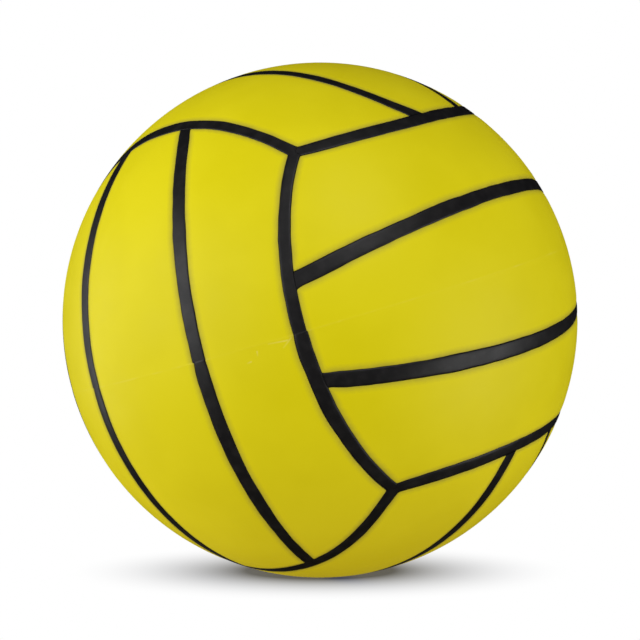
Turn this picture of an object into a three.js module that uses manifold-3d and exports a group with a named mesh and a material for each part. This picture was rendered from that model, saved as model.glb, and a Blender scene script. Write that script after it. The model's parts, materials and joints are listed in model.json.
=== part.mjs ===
// Volleyball: eighteen cover panels and the strips in the channels between them, over a carcass,
// a thread winding and a bladder with its valve. Millimetres, +Z up, origin at the ball's centre.
import * as THREE from 'three';
import { mergeVertices } from 'three/addons/utils/BufferGeometryUtils.js';
import Module from 'manifold-3d';

const wasm = await Module();
wasm.setup();

// Ball and its layers, from the outside in
const OUTER_DIAMETER = 210;
const PANEL_THICKNESS = 2;
const CARCASS_THICKNESS = 0.5;
const WINDING_THICKNESS = 0.4;
const BLADDER_THICKNESS = 0.5;

// Clear space between pieces that touch on the real ball
const FIT_GAP = 0.3;

// Channels between the panels, and the rolled edge that each panel turns down into them
const CHANNEL_WIDTH = 5;
const CHANNEL_DEPTH = 0.3;
const STRIP_CROWN = 0.3;
const EDGE_ROLL_WIDTH = 2;
const EDGE_ROLL_DROP = 0.35;

// Seam pattern in degrees of arc: the seams of a face either side of its middle, and how far
// its long edges are drawn in at half length. The power sets how evenly that bow is spread.
const INNER_SEAM_ANGLE = 15.2;
const EDGE_WAIST_ANGLE = 9.4;
const EDGE_WAIST_POWER = 2.25;

// Turn of the seam pattern as the ball lies, in degrees about Z, then Y, then X
const LIE_YAW = -127.5;
const LIE_PITCH = 7.9;
const LIE_ROLL = 14.7;

// Valve core: a plug with a head and a needle hole that ends above a closed slit
const CORE_DIAMETER = 6;
const CORE_LENGTH = 17;
const CORE_TIP_TAPER = 0.8;
const HEAD_OVERHANG = 1.2;
const HEAD_THICKNESS = 1.5;
const NEEDLE_HOLE_DIAMETER = 2.2;
const NEEDLE_HOLE_FLOOR = 4;
const NEEDLE_MOUTH_FLARE = 0.7;

// Valve seat: a neck through the layers, a dished flange inside the bladder and a tube below it
const VALVE_RECESS = 0.6;
const NECK_WALL = 1.3;
const FLANGE_OVERHANG = 7;
const FLANGE_THICKNESS = 1.4;
const TUBE_WALL = 2;
const CORE_TIP_REACH = 1.5;

// Facets: longest side of a facet on the cover, and counts for the hidden layers and the valve
const FACET_LENGTH = 14;
const LAYER_DETAIL = 5;
const ROUND_STEPS = 32;
const DISH_STEPS = 4;

const COVER_FINISH = { color: '#d8ca16', roughness: 0.42, metalness: 0 };
const STRIP_FINISH = { color: '#1d1d1f', roughness: 0.5, metalness: 0 };
const CARCASS_FINISH = { color: '#232325', roughness: 0.8, metalness: 0 };
const WINDING_FINISH = { color: '#e6e2d6', roughness: 0.7, metalness: 0 };
const BLADDER_FINISH = { color: '#2b2b2d', roughness: 0.6, metalness: 0 };
const VALVE_SEAT_FINISH = { color: '#202022', roughness: 0.55, metalness: 0 };
const VALVE_CORE_FINISH = { color: '#2c2c2e', roughness: 0.5, metalness: 0 };

const { degToRad } = THREE.MathUtils;
const RADIUS = OUTER_DIAMETER / 2;
const HALF_CHANNEL = CHANNEL_WIDTH / 2;
const HALF_STRIP = HALF_CHANNEL - FIT_GAP;
const EVEN_EDGE = Math.PI / 4;
const CORNER_LATITUDE = Math.asin(1 / Math.sqrt(3));
const MITRE_ANGLE = Math.PI / 3;

// Six faces of three strips. A face's strips run along one axis and lie side by side across another;
// their names go from the low side of the across axis to the high side.
const X = new THREE.Vector3(1, 0, 0);
const Y = new THREE.Vector3(0, 1, 0);
const Z = new THREE.Vector3(0, 0, 1);
const FACES = [
  { name: 'front', normal: X, across: Y, along: Z, strips: ['left', 'middle', 'right'] },
  { name: 'right', normal: Y, across: Z, along: X, strips: ['lower', 'middle', 'upper'] },
  { name: 'top', normal: Z, across: X, along: Y, strips: ['back', 'middle', 'front'] },
  { name: 'back', normal: X.clone().negate(), across: Y.clone().negate(), along: Z,
    strips: ['right', 'middle', 'left'] },
  { name: 'left', normal: Y.clone().negate(), across: Z.clone().negate(), along: X,
    strips: ['upper', 'middle', 'lower'] },
  { name: 'bottom', normal: Z.clone().negate(), across: X.clone().negate(), along: Y,
    strips: ['front', 'middle', 'back'] },
];
const VALVE_PANEL = 'panel_left_middle';

// Radii of the layers. The diagonal of a square facet cuts below its round surface by its length squared
// over eight radii, so the carcass keeps clear of that too.
const FLOOR_RADIUS = RADIUS - PANEL_THICKNESS;
const STRIP_RADIUS = RADIUS - CHANNEL_DEPTH;
const FACET_DIAGONAL = FACET_LENGTH * Math.SQRT2;
const FACET_SAG = FACET_DIAGONAL ** 2 / (8 * FLOOR_RADIUS);
const CARCASS_RADIUS = FLOOR_RADIUS - FACET_SAG - FIT_GAP;
const WINDING_RADIUS = CARCASS_RADIUS - CARCASS_THICKNESS - FIT_GAP;
const BLADDER_RADIUS = WINDING_RADIUS - WINDING_THICKNESS - FIT_GAP;
const AIR_RADIUS = BLADDER_RADIUS - BLADDER_THICKNESS;

// Valve sizes that follow from the core outwards; heights are distances from the ball's centre
const STEM_RADIUS = CORE_DIAMETER / 2;
const HEAD_RADIUS = STEM_RADIUS + HEAD_OVERHANG;
const BORE_RADIUS = STEM_RADIUS + FIT_GAP;
const POCKET_RADIUS = HEAD_RADIUS + FIT_GAP;
const NECK_RADIUS = POCKET_RADIUS + NECK_WALL;
const TUBE_RADIUS = BORE_RADIUS + TUBE_WALL;
const FLANGE_RADIUS = NECK_RADIUS + FLANGE_OVERHANG;
const VALVE_HOLE_RADIUS = NECK_RADIUS + FIT_GAP;
const VALVE_FACE = RADIUS - VALVE_RECESS;
const HEAD_FLOOR = VALVE_FACE - HEAD_THICKNESS;
const CORE_TIP = HEAD_FLOOR - CORE_LENGTH;
const TUBE_END = CORE_TIP + CORE_TIP_REACH;

// Point of the unit ball at a longitude and latitude of a face
function direction(face, longitude, latitude) {
  const out = Math.cos(latitude);
  return new THREE.Vector3()
    .addScaledVector(face.normal, out * Math.cos(longitude))
    .addScaledVector(face.across, out * Math.sin(longitude))
    .addScaledVector(face.along, Math.sin(latitude));
}

// Longitude of a line beside the inner seam, at a distance from it along the surface
function innerSeam(latitude, distance) {
  return degToRad(INNER_SEAM_ANGLE) + distance / (RADIUS * Math.cos(latitude));
}

// How steeply the long edge of a face leaves its meridian
function edgeSlope(latitude) {
  const share = Math.abs(latitude) / CORNER_LATITUDE;
  const rate = EDGE_WAIST_POWER * share ** (EDGE_WAIST_POWER - 1) / CORNER_LATITUDE;
  return degToRad(EDGE_WAIST_ANGLE) * rate * Math.cos(latitude);
}

// Longitude of a line beside the long edge of a face, at a distance from it along the surface
function longEdge(latitude, distance) {
  const share = Math.abs(latitude) / CORNER_LATITUDE;
  const bow = degToRad(EDGE_WAIST_ANGLE) * (1 - share ** EDGE_WAIST_POWER);
  const aside = distance * Math.hypot(1, edgeSlope(latitude));
  return EVEN_EDGE - bow + aside / (RADIUS * Math.cos(latitude));
}

// Latitude where a line across a face meets the long edge of the next face, less a distance
function endLatitude(longitudeAt, distance) {
  const rounds = 40;
  let latitude = EVEN_EDGE;
  for (let round = 0; round < rounds; round += 1) {
    const longitude = longitudeAt(latitude);
    const nextLatitude = Math.asin(Math.cos(latitude) * Math.sin(longitude));
    latitude = Math.atan(Math.cos(longitude) / Math.tan(longEdge(nextLatitude, distance)));
  }
  return latitude;
}

// Grid steps that keep facets within their length
function stepsFor(length) {
  return Math.ceil(length / FACET_LENGTH);
}

// Bends the grid of a box onto the ball: place gives a grid point's direction, height its radius
function bentPlate(acrossSteps, alongSteps, place, height) {
  const geometry = new THREE.BoxGeometry(1, 1, 1, acrossSteps, alongSteps, 1);
  const position = geometry.attributes.position;
  for (let n = 0; n < position.count; n += 1) {
    const i = Math.round((position.getX(n) + 0.5) * acrossSteps);
    const j = Math.round((position.getY(n) + 0.5) * alongSteps);
    const outer = position.getZ(n) > 0;
    const point = place(i, j).multiplyScalar(height(i, j, outer));
    position.setXYZ(n, point.x, point.y, point.z);
  }
  return geometry;
}

// Share of the way over a panel at a grid step: the first and last steps are the rolled edges
function rolledShare(step, steps, roll) {
  if (step === 0 || step === steps) {
    return step / steps;
  }
  return roll + (1 - 2 * roll) * (step - 1) / (steps - 2);
}

// Longitudes of a panel's two sides; side is -1, 0 or 1 across the face
function panelSides(side) {
  const inner = (latitude) => innerSeam(latitude, HALF_CHANNEL);
  const outer = (latitude) => longEdge(latitude, -HALF_CHANNEL);
  const half = (latitude) => innerSeam(latitude, -HALF_CHANNEL);
  if (side === 0) {
    return [(latitude) => -half(latitude), half];
  }
  if (side > 0) {
    return [inner, outer];
  }
  return [(latitude) => -outer(latitude), (latitude) => -inner(latitude)];
}

// A cover panel: a plate of even thickness whose edges roll down into the channels round it
function panel(face, side) {
  const [low, high] = panelSides(side);
  const widthAt = (latitude) => RADIUS * Math.cos(latitude) * (high(latitude) - low(latitude));
  const rolledEdges = 2;
  const widest = Math.max(widthAt(0), widthAt(CORNER_LATITUDE));
  const longest = 2 * RADIUS * endLatitude(side === 0 ? () => 0 : low, HALF_CHANNEL);
  const acrossSteps = stepsFor(widest) + rolledEdges;
  const alongSteps = stepsFor(longest) + rolledEdges;
  const longitudeAt = (i, latitude) => {
    const share = rolledShare(i, acrossSteps, EDGE_ROLL_WIDTH / widthAt(latitude));
    return THREE.MathUtils.lerp(low(latitude), high(latitude), share);
  };
  const place = (i, j) => {
    const end = endLatitude((latitude) => longitudeAt(i, latitude), HALF_CHANNEL);
    const share = rolledShare(j, alongSteps, EDGE_ROLL_WIDTH / (2 * RADIUS * end));
    const latitude = THREE.MathUtils.lerp(-end, end, share);
    return direction(face, longitudeAt(i, latitude), latitude);
  };
  const height = (i, j, outer) => {
    const rim = i === 0 || j === 0 || i === acrossSteps || j === alongSteps;
    if (!outer) {
      return FLOOR_RADIUS;
    }
    return rim ? RADIUS - EDGE_ROLL_DROP : RADIUS;
  };
  return bentPlate(acrossSteps, alongSteps, place, height);
}

// Radius of a strip's faces: the outer one is crowned along its middle
function stripHeight(i, j, outer) {
  if (!outer) {
    return FLOOR_RADIUS;
  }
  return i === 1 ? STRIP_RADIUS : STRIP_RADIUS - STRIP_CROWN;
}

// The strip between two panels of one face, butted against the edge strips at its ends
function innerStrip(face, side) {
  const acrossSteps = 2;
  const longitudeAt = (i, latitude) => side * innerSeam(latitude, side * (i - 1) * HALF_STRIP);
  const length = 2 * RADIUS * endLatitude((latitude) => longitudeAt(1, latitude), HALF_CHANNEL);
  const alongSteps = stepsFor(length);
  const place = (i, j) => {
    const end = endLatitude((latitude) => longitudeAt(i, latitude), HALF_CHANNEL);
    const latitude = THREE.MathUtils.lerp(-end, end, j / alongSteps);
    return direction(face, longitudeAt(i, latitude), latitude);
  };
  return bentPlate(acrossSteps, alongSteps, place, stripHeight);
}

// The strip along the long edge of a face, mitred to a point where three of them meet at a corner
function edgeStrip(face, side) {
  const acrossSteps = 2;
  const stretch = Math.hypot(1, edgeSlope(CORNER_LATITUDE));
  const alongSteps = stepsFor(2 * RADIUS * CORNER_LATITUDE * stretch);
  const mitreGap = FIT_GAP / (2 * Math.sin(MITRE_ANGLE));
  const tiny = 1e-4;
  const onLine = (latitude) => direction(face, side * longEdge(latitude, 0), latitude);
  const place = (i, j) => {
    const aside = (i - 1) * HALF_STRIP;
    const cutBack = Math.abs(aside) / Math.tan(MITRE_ANGLE) + mitreGap;
    const end = CORNER_LATITUDE - cutBack / (RADIUS * stretch);
    const latitude = THREE.MathUtils.lerp(-end, end, j / alongSteps);
    const point = onLine(latitude);
    const forward = onLine(latitude + tiny).sub(onLine(latitude - tiny)).normalize();
    const sideways = forward.cross(point);
    return point.addScaledVector(sideways, aside / RADIUS).normalize();
  };
  return bentPlate(acrossSteps, alongSteps, place, stripHeight);
}

// A solid for joining and cutting, from a closed geometry
function solid(geometry) {
  const bare = geometry.clone();
  bare.deleteAttribute('normal');
  bare.deleteAttribute('uv');
  const merged = mergeVertices(bare);
  const vertProperties = new Float32Array(merged.attributes.position.array);
  const triVerts = new Uint32Array(merged.index.array);
  return new wasm.Manifold(new wasm.Mesh({ numProp: 3, vertProperties, triVerts }));
}

function geometryOf(body) {
  const { vertProperties, triVerts } = body.getMesh();
  const geometry = new THREE.BufferGeometry();
  geometry.setAttribute('position', new THREE.BufferAttribute(vertProperties, 3));
  geometry.setIndex(new THREE.BufferAttribute(triVerts, 1));
  return geometry;
}

// The round hole that the valve's neck passes through, on the middle of the left face
function valveHole() {
  const cutter = new THREE.CylinderGeometry(VALVE_HOLE_RADIUS, VALVE_HOLE_RADIUS, RADIUS, ROUND_STEPS);
  cutter.translate(0, -RADIUS, 0);
  return solid(cutter);
}

// A hollow ball, open at the valve hole
function layer(radius, thickness) {
  const outer = solid(new THREE.IcosahedronGeometry(radius, LAYER_DETAIL));
  const inner = solid(new THREE.IcosahedronGeometry(radius - thickness, LAYER_DETAIL));
  return geometryOf(outer.subtract(inner).subtract(valveHole()));
}

// Least distance of a layer's flat facets from the centre, as a share of its radius
function layerFlatness() {
  const position = new THREE.IcosahedronGeometry(1, LAYER_DETAIL).attributes.position;
  const corners = [new THREE.Vector3(), new THREE.Vector3(), new THREE.Vector3()];
  const plane = new THREE.Plane();
  let least = 1;
  for (let n = 0; n < position.count; n += corners.length) {
    corners.forEach((corner, k) => corner.fromBufferAttribute(position, n + k));
    plane.setFromCoplanarPoints(...corners);
    least = Math.min(least, Math.abs(plane.constant));
  }
  return least;
}

// Points of a profile along a round dish about the ball's centre
function dish(radius, from, to) {
  const points = [];
  for (let step = 0; step <= DISH_STEPS; step += 1) {
    const out = THREE.MathUtils.lerp(from, to, step / DISH_STEPS);
    points.push(new THREE.Vector2(out, Math.sqrt(radius ** 2 - out ** 2)));
  }
  return points;
}

// Neck, flange and tube in one moulding, with the core's bore and the pocket for its head
function valveSeat() {
  const flangeTop = AIR_RADIUS * layerFlatness() - FIT_GAP;
  const pocketFloor = HEAD_FLOOR - FIT_GAP;
  const profile = [
    new THREE.Vector2(BORE_RADIUS, TUBE_END),
    new THREE.Vector2(TUBE_RADIUS, TUBE_END),
    ...dish(flangeTop - FLANGE_THICKNESS, TUBE_RADIUS, FLANGE_RADIUS),
    ...dish(flangeTop, FLANGE_RADIUS, NECK_RADIUS),
    new THREE.Vector2(NECK_RADIUS, VALVE_FACE),
    new THREE.Vector2(POCKET_RADIUS, VALVE_FACE),
    new THREE.Vector2(POCKET_RADIUS, pocketFloor),
    new THREE.Vector2(BORE_RADIUS, pocketFloor),
    new THREE.Vector2(BORE_RADIUS, TUBE_END),
  ];
  return new THREE.LatheGeometry(profile, ROUND_STEPS);
}

// Head and stem, with the flared needle hole down to the closed slit
function valveCore() {
  const needleRadius = NEEDLE_HOLE_DIAMETER / 2;
  const mouthRadius = needleRadius + NEEDLE_MOUTH_FLARE;
  const profile = [
    new THREE.Vector2(0, CORE_TIP),
    new THREE.Vector2(STEM_RADIUS - CORE_TIP_TAPER, CORE_TIP),
    new THREE.Vector2(STEM_RADIUS, CORE_TIP + CORE_TIP_TAPER),
    new THREE.Vector2(STEM_RADIUS, HEAD_FLOOR),
    new THREE.Vector2(HEAD_RADIUS, HEAD_FLOOR),
    new THREE.Vector2(HEAD_RADIUS, VALVE_FACE),
    new THREE.Vector2(mouthRadius, VALVE_FACE),
    new THREE.Vector2(needleRadius, VALVE_FACE - NEEDLE_MOUTH_FLARE),
    new THREE.Vector2(needleRadius, CORE_TIP + NEEDLE_HOLE_FLOOR),
    new THREE.Vector2(0, CORE_TIP + NEEDLE_HOLE_FLOOR),
  ];
  return new THREE.LatheGeometry(profile, ROUND_STEPS);
}

function piece(name, geometry, finish) {
  const mesh = new THREE.Mesh(geometry, new THREE.MeshStandardMaterial(finish));
  mesh.name = name;
  return mesh;
}

// A panel's geometry, with the valve hole where the valve comes through
function panelGeometry(name, face, side) {
  const whole = panel(face, side);
  return name === VALVE_PANEL ? geometryOf(solid(whole).subtract(valveHole())) : whole;
}

const ball = new THREE.Group();
ball.rotation.set(degToRad(LIE_ROLL), degToRad(LIE_PITCH), degToRad(LIE_YAW), 'ZYX');

for (const face of FACES) {
  face.strips.forEach((strip, index) => {
    const side = index - 1;
    const name = `panel_${face.name}_${strip}`;
    ball.add(piece(name, panelGeometry(name, face, side), COVER_FINISH));
    if (side !== 0) {
      ball.add(piece(`inner_strip_${face.name}_${strip}`, innerStrip(face, side), STRIP_FINISH));
      ball.add(piece(`edge_strip_${face.name}_${strip}`, edgeStrip(face, side), STRIP_FINISH));
    }
  });
}

ball.add(piece('carcass', layer(CARCASS_RADIUS, CARCASS_THICKNESS), CARCASS_FINISH));
ball.add(piece('winding', layer(WINDING_RADIUS, WINDING_THICKNESS), WINDING_FINISH));
ball.add(piece('bladder', layer(BLADDER_RADIUS, BLADDER_THICKNESS), BLADDER_FINISH));

// The valve's pieces stand along +Y, turned over to point out of the left face
const valve = new THREE.Group();
valve.rotation.x = Math.PI;
valve.add(piece('valve_seat', valveSeat(), VALVE_SEAT_FINISH));
valve.add(piece('valve_core', valveCore(), VALVE_CORE_FINISH));
ball.add(valve);

const volleyball = new THREE.Group();
volleyball.add(ball);

export default volleyball;
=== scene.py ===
# Volleyball: the finished pieces, their materials and a small studio, around the packed model.
# Metres, +Z up, origin at the ball's centre.
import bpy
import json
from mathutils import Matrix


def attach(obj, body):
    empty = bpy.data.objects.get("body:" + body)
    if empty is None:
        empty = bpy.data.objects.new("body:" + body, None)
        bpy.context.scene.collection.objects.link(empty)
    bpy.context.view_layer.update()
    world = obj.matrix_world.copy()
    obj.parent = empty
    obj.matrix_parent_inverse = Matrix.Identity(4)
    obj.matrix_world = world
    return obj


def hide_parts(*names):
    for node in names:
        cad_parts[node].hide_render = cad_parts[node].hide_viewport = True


bl_info = {
    "name": "Volleyball",
    "version": (1, 0, 0),
    "blender": (4, 5, 0),
    "location": "3D View > Sidebar > Volleyball",
    "description": "Builds the finished pieces of a volleyball and the studio it lies in",
    "category": "Object",
}

import json
import math
from functools import cache
from typing import NamedTuple

import bmesh
import bpy
from bpy.props import FloatProperty, FloatVectorProperty, PointerProperty
from mathutils import Euler, Matrix, Vector, noise

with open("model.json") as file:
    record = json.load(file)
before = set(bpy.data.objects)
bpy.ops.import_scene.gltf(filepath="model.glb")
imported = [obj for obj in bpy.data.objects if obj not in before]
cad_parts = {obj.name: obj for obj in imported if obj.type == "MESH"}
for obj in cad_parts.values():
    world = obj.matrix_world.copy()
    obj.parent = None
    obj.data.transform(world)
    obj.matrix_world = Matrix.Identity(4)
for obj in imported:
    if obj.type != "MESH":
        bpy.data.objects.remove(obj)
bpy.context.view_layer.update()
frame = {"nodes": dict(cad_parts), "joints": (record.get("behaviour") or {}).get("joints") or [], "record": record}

# The ball's radius is where its cradle holds it; the valve's face is the other mount
MOUNTS = {mount["name"]: Vector(mount["pos_m"]) for mount in frame["record"]["mounts"]}
BALL_RADIUS = MOUNTS["cradle"].length
VALVE_FACE = MOUNTS["valve_face"].dot(Vector(frame["joints"][0]["axis"]))

MM = 0.001
SENSOR_WIDTH = 36

# The pattern of six faces: where edges and corners lie, and the angle between two strips at a corner
EVEN_EDGE = math.pi / 4
CORNER_LATITUDE = math.asin(1 / math.sqrt(3))
MITRE_ANGLE = math.pi / 3

# About where the inner seams end, at the edge across a face
INNER_END = math.radians(50.5)

# Strays grow from nothing to their full size between these places towards the photographed side, as
# shares of the ball's radius, and fade with a power towards a mitred corner
STRAY_START = -0.45
STRAY_FULL = 0.15
MITRE_FADE = 8

# Keeps the noise of a channel's two edges apart, so that each strays by itself
SIDE_SHIFT = Vector((0.31, 0.17, 0.23))

# Nick of a channel's high side, as a share of its low side's
HIGH_NICK = 1 / 3

# Bends from which an edge of the valve is rounded, and a crease of any mesh is shaded sharp
VALVE_BEND = math.radians(40)
CREASE = math.radians(50)

X = Vector((1, 0, 0))
Y = Vector((0, 1, 0))
Z = Vector((0, 0, 1))


class Face(NamedTuple):
    """Three panels side by side: names go from the low side of the across axis to the high side"""

    name: str
    normal: Vector
    across: Vector
    along: Vector
    strips: tuple


FACES = (
    Face("front", X, Y, Z, ("left", "middle", "right")),
    Face("right", Y, Z, X, ("lower", "middle", "upper")),
    Face("top", Z, X, Y, ("back", "middle", "front")),
    Face("back", -X, -Y, Z, ("right", "middle", "left")),
    Face("left", -Y, -Z, X, ("upper", "middle", "lower")),
    Face("bottom", -Z, -X, Y, ("front", "middle", "back")),
)
VALVE_NODE = "panel_left_middle"


class Seam(NamedTuple):
    """A line between two panels: an inner seam of a face or its long edge, on one side of its middle"""

    face: Face
    side: int
    kind: str

    @property
    def node(self):
        return f"{self.kind}_strip_{self.face.name}_{self.face.strips[self.side + 1]}"

    @property
    def crosses_parting(self):
        return self.face.along.z != 0


class Stray(NamedTuple):
    """How a seam strays from the even pattern, in millimetres: its shifts across the face and its
    channel's widths, at even places from its low end to its high end, and how much wider the channel is
    below the mould's parting line"""

    shifts: tuple
    widths: tuple
    widening: float = 0


# Seams of the photographed side and its outline, each as it lies there; the others keep to the pattern
STRAYS = {
    "inner_strip_front_right": Stray((-2.0, -0.6, 0.3, 1.2, 0.3), (4.8, 5.2, 5.0)),
    "inner_strip_front_left": Stray((-8.8, -2.9, 0, 0.6, -1.8), (6.9, 5.7, 7.1)),
    "edge_strip_front_left": Stray((-2.4, -2.4), (4.6, 4.6)),
    "edge_strip_front_right": Stray((-0.9, -0.3, -1.0), (3.6, 4.5, 3.8), 0.9),
    "inner_strip_right_upper": Stray((3.1, 1.5, 1.2), (5.3, 5.2, 5.7)),
    "inner_strip_right_lower": Stray((1.9, 1.1, 0.9), (3.5, 5.6, 5.7)),
    "edge_strip_right_upper": Stray((6.0, 1.6, -1.1), (5.8, 5.5, 4.9)),
    "edge_strip_right_lower": Stray((-2.8, -1.9, 0.9), (5.3, 5.3, 5.2)),
    "edge_strip_top_front": Stray((0, -4.6, -1.8, 0.3, 0.9), (5.0, 6.4, 5.9, 4.6, 4.5)),
    "edge_strip_bottom_front": Stray((3.0, 6.0, 1.6, -0.9, -1.4), (6.0, 5.0, 4.1)),
    "inner_strip_top_front": Stray((-11.9, -10.8, -7.9, -1.4, 0.0), (5.0, 5.6, 6.0, 4.7, 5.0)),
    "inner_strip_top_back": Stray((-1.2, -1.2), (5.5, 5.5)),
    "inner_strip_bottom_front": Stray((5.6, 4.7, 2.5), (5.7, 6.6, 5.8)),
}


def smooth(value, start, stop):
    """Goes smoothly from 0 to 1 while a value goes from start to stop"""
    share = min(1, max(0, (value - start) / (stop - start)))
    return share * share * (3 - 2 * share)


def through(values, share):
    """A smooth curve through values at even places from -1 to 1"""
    places = [2 * step / (len(values) - 1) - 1 for step in range(len(values))]
    total = 0
    for place, value in zip(places, values):
        weights = [(share - other) / (place - other) for other in places if other != place]
        total += value * math.prod(weights)
    return total


# Short forms for the properties below

def length(name, millimetres, description):
    return FloatProperty(name=name, description=description, default=millimetres * MM,
                         unit="LENGTH", subtype="DISTANCE", precision=5)


def angle(name, degrees, description):
    return FloatProperty(name=name, description=description, default=math.radians(degrees),
                         unit="ROTATION", subtype="ANGLE")


def number(name, value, description):
    return FloatProperty(name=name, description=description, default=value)


def colour(name, value, description):
    return FloatVectorProperty(name=name, description=description, default=value, size=3,
                               subtype="COLOR", min=0, max=1)


class VolleyballCover(bpy.types.PropertyGroup):
    """Seam pattern, panels and channel strips"""

    radius: length("Radius", BALL_RADIUS / MM, "From the centre to the crown of the panels")
    lie: FloatVectorProperty(
        name="Lie", description="Turn of the seam pattern about X, then Y, then Z", size=3,
        default=[math.radians(degrees) for degrees in (14.7, 7.9, -127.5)], subtype="EULER")
    inner_seam: angle("Inner seam", 15.2, "Arc from a face's middle to its inner seams")
    waist: angle("Waist", 9.4, "How far a face's long edges are drawn in at half length")
    waist_power: number("Waist power", 2.25, "How evenly the bow of a long edge is spread")
    cell: length("Cell", 2.2, "Longest side of a mesh cell on the panels")

    thickness: length("Thickness", 2, "Thickness of a panel")
    roll_width: length("Roll width", 3.6, "Width of the rolled edge of a panel")
    roll_drop: length("Roll drop", 0.2, "How far the rolled edge sinks towards the channel")
    rim: length("Rim", 0.12, "Radius of the rim where a rolled edge turns into the channel's wall")
    corner: length("Corner", 0.45, "Radius of a panel's corners")
    hole_radius: length("Valve hole", 6.1, "Radius of the hole that the valve comes through")

    channel_width: length("Channel width", 4.6, "Width of a channel between two panels")
    channel_depth: length("Channel depth", 0.02, "From the panels' crown to the middle of a strip")
    strip_crown: length("Strip crown", 0.2, "How far a strip falls to its sides below the parting line")
    strip_rim: length("Strip rim", 0.35, "Radius along the sides of a strip")
    clearance: length("Clearance", 0.06, "Between a strip and the panels or strips beside it")

    wander: length("Wander", 0.3, "How far a channel's edge strays from its line")
    wander_length: length("Wander length", 17, "Length of one such bend")
    ripple: length("Ripple", 0.16, "Finer unevenness of a channel's edge")
    ripple_length: length("Ripple length", 5, "Length of one ripple")
    swell: length("Swell", 0.4, "How uneven a channel is where it butts against another")
    swell_length: length("Swell length", 6, "How far that reaches along it")

    parting: length("Parting line", 1.4, "Height of the mould's parting line over the pattern's middle")
    flash: length("Flash", 0.03, "Height of the flash along the parting line")
    flash_width: length("Flash width", 0.35, "Half the width of the flash")
    flash_break: length("Flash break", 9, "Length of the breaks in the flash")
    step: length("Step", 0.06, "Half the length over which the two mould halves differ")
    nick: length("Nick", 0.5, "How much narrower a channel starts below the parting line")
    nick_length: length("Nick length", 2.5, "Distance over which that evens out")
    scratch_width: length("Scratch width", 0.4, "Half the width of a scratch")
    lap: length("Lap", 0.05, "How far a strip is sunk above the parting line and raised below it")
    lap_length: length("Lap length", 5, "Distance over which that evens out")


class VolleyballValve(bpy.types.PropertyGroup):
    """The push-in core and the seat that holds it"""

    core_diameter: length("Core diameter", 6, "Diameter of the core's stem")
    core_length: length("Core length", 17, "Length of the core's stem below its head")
    tip_taper: length("Tip taper", 0.8, "Chamfer at the stem's inner end")
    head_overhang: length("Head overhang", 1.2, "How far the head stands out over the stem")
    head_thickness: length("Head thickness", 1.5, "Thickness of the head")
    needle_diameter: length("Needle hole", 2.2, "Diameter of the needle hole")
    needle_floor: length("Needle hole floor", 4, "Closed slit left below the needle hole")
    mouth_flare: length("Mouth flare", 0.7, "How far the needle hole opens at its mouth")
    gap: length("Gap", 0.3, "Between the core and its seat")
    neck_wall: length("Neck wall", 1.3, "Wall of the neck round the head")
    flange_overhang: length("Flange overhang", 7, "How far the flange stands out round the neck")
    flange_thickness: length("Flange thickness", 1.4, "Thickness of the flange")
    flange_radius: length("Flange dish", 99.1, "From the ball's centre to the top of the flange")
    tube_wall: length("Tube wall", 2, "Wall of the tube round the stem")
    tip_reach: length("Tip reach", 1.5, "How far the stem shows below the tube")
    lip: length("Lip", 0.3, "Rounding of the edges that show")


class VolleyballFinish(bpy.types.PropertyGroup):
    """Colours of the finishes"""

    cover: colour("Cover", (0.7, 0.635, 0.002), "Yellow of the panels")
    cover_pale: colour("Cover, pale", (0.73, 0.665, 0.004), "Paler yellow of the mottling")
    # Painted shade, with some soil, on the rolled edges beside the channels
    cover_shade_and_soil: colour("Cover, shade", (0.4, 0.36, 0.03), "Yellow soiled along the channels")
    flash_pale: colour("Parting line", (0.78, 0.71, 0.14), "Pale line where the mould parts")
    strip: colour("Strip", (0.008, 0.008, 0.0086), "Charcoal of the channel strips")
    strip_dust: colour("Strip, dusty", (0.014, 0.0138, 0.0142), "Strip where talc clings to it")
    rubber: colour("Rubber", (0.012, 0.012, 0.013), "Black of the carcass, bladder and valve")
    rubber_dust: colour("Rubber, dusty", (0.03, 0.029, 0.028), "Black rubber under talc")
    thread: colour("Thread", (0.78, 0.75, 0.67), "Nylon thread of the winding")
    thread_shade: colour("Thread, shade", (0.5, 0.47, 0.4), "Winding between its threads")


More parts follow.
